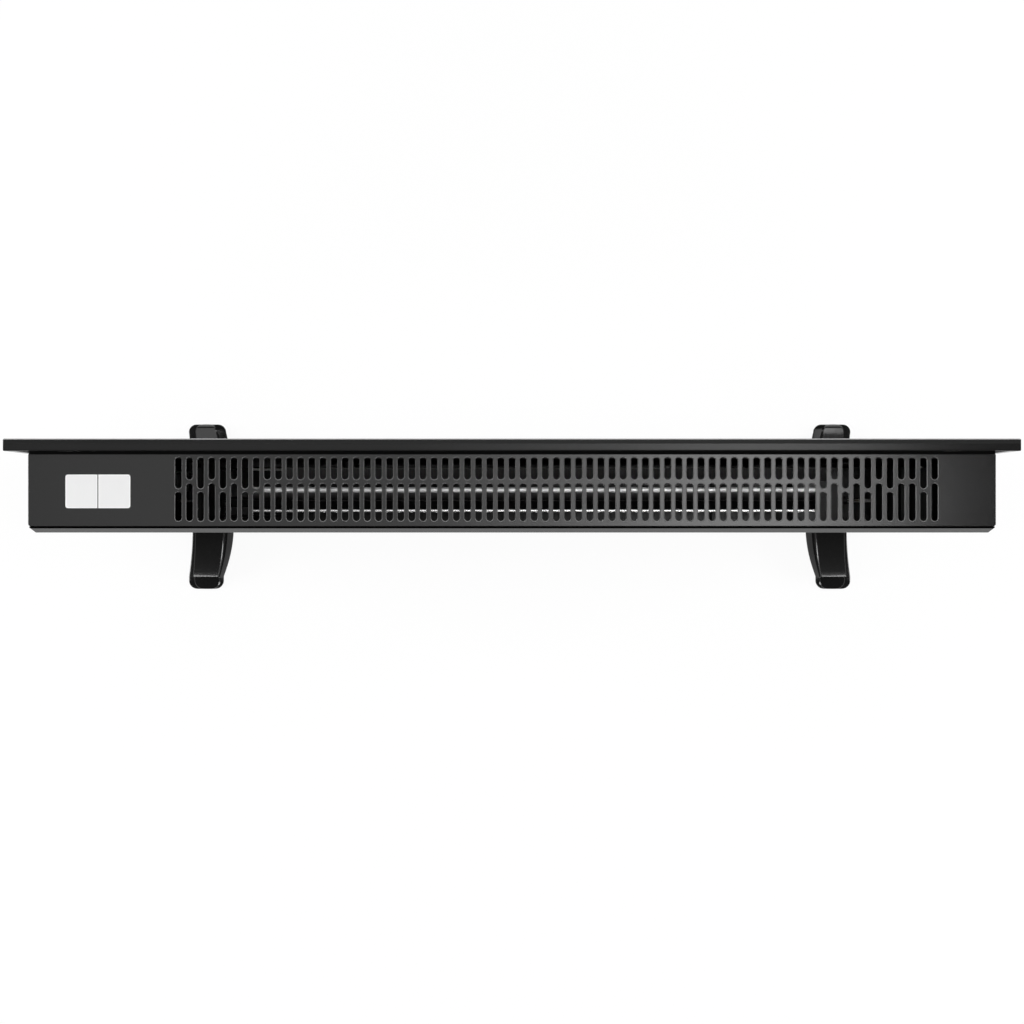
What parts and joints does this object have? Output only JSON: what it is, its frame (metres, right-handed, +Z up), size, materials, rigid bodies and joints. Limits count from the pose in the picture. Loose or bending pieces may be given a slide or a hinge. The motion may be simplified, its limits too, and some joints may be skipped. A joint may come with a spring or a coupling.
{
  "type": "glass panel heater",
  "caption": "Free-standing glass panel convector heater with a slotted top outlet, bevelled rear cover, flared feet, side rocker switch and a hanging tip-over switch inside.",
  "frame": {"origin": "centre of the footprint on the floor, under the pads of the feet", "axes": "+Z up, -Y towards the room (the glass faces -Y), +X towards the side with the rocker switch"},
  "size_m": [0.8206, 0.161, 0.43],
  "materials": {
    "black_glass": "polished face, ground edges, black enamel behind",
    "body_plastic": "fine moulded texture, heat resistant",
    "foot_plastic": "smooth moulded gloss",
    "rocker_plastic": "smooth",
    "inner_plastic": "plain moulded",
    "coated_sheet": "black heat resistant coating",
    "shield_sheet": "dark heat resistant coating",
    "element_aluminium": "extruded",
    "core_steel": "drawn",
    "dark_ceramic": "brown glaze",
    "terminal_brass": "stamped",
    "fastener_steel": "zinc plated",
    "pad_rubber": "moulded",
    "tape_rubber": "foam",
    "lead_rubber": "silicone sheath",
    "board_laminate": "solder resist",
    "component_plastic": "moulded",
    "sticker_paper": "blank sticker"
  },
  "bodies": {
    "housing": {"glass_panel": "black_glass", "body_shell": "body_plastic", "rear_cover": "body_plastic", "panel_frame": "body_plastic", "switch_body": "body_plastic", "cord_gland": "body_plastic", "gland_nut": "body_plastic", "foot_right": "foot_plastic", "foot_left": "foot_plastic", "display_holder": "inner_plastic", "terminal_block": "inner_plastic", "tilt_switch_base": "inner_plastic", "tilt_microswitch": "inner_plastic", "temperature_sensor": "inner_plastic", "front_plate": "coated_sheet", "partition_plate": "coated_sheet", "fuse_bracket": "coated_sheet", "heat_shield": "shield_sheet", "element_bracket": "shield_sheet", "element_profile": "element_aluminium", "element_core": "core_steel", "element_insulators": "dark_ceramic", "element_terminals": "terminal_brass", "switch_terminals": "terminal_brass", "panel_screws": "fastener_steel", "rear_cover_screws": "fastener_steel", "shield_screws": "fastener_steel", "board_screws": "fastener_steel", "bracket_screws": "fastener_steel", "foot_screws": "fastener_steel", "foot_nuts": "fastener_steel", "shield_standoffs": "fastener_steel", "tilt_clip": "fastener_steel", "thermal_fuse": "fastener_steel", "foot_pads": "pad_rubber", "glass_tape": "tape_rubber", "panel_gasket": "tape_rubber", "touch_pads": "tape_rubber", "element_leads": "lead_rubber", "fuse_leads": "lead_rubber", "switch_lead": "lead_rubber", "display_cable": "lead_rubber", "power_board": "board_laminate", "display_board": "board_laminate", "relays": "component_plastic", "board_components": "component_plastic", "display_module": "component_plastic", "board_standoffs": "component_plastic", "blank_label": "sticker_paper"},
    "rocker": {"switch_rocker": "rocker_plastic"},
    "pendulum": {"tilt_pendulum": "terminal_brass"}
  },
  "joints": [
    {"name": "rocker_tilt", "type": "hinge", "parent": "housing", "child": "rocker", "pos_m": [0.3886, -0.012, 0.12], "axis": [0, 1, 0], "range_deg": [-22, 0]},
    {"name": "pendulum_swing", "type": "hinge", "parent": "housing", "child": "pendulum", "pos_m": [0.2601, -0.0051, 0.095], "axis": [1, 0, 0], "range_deg": [-25, 25]}
  ]
}
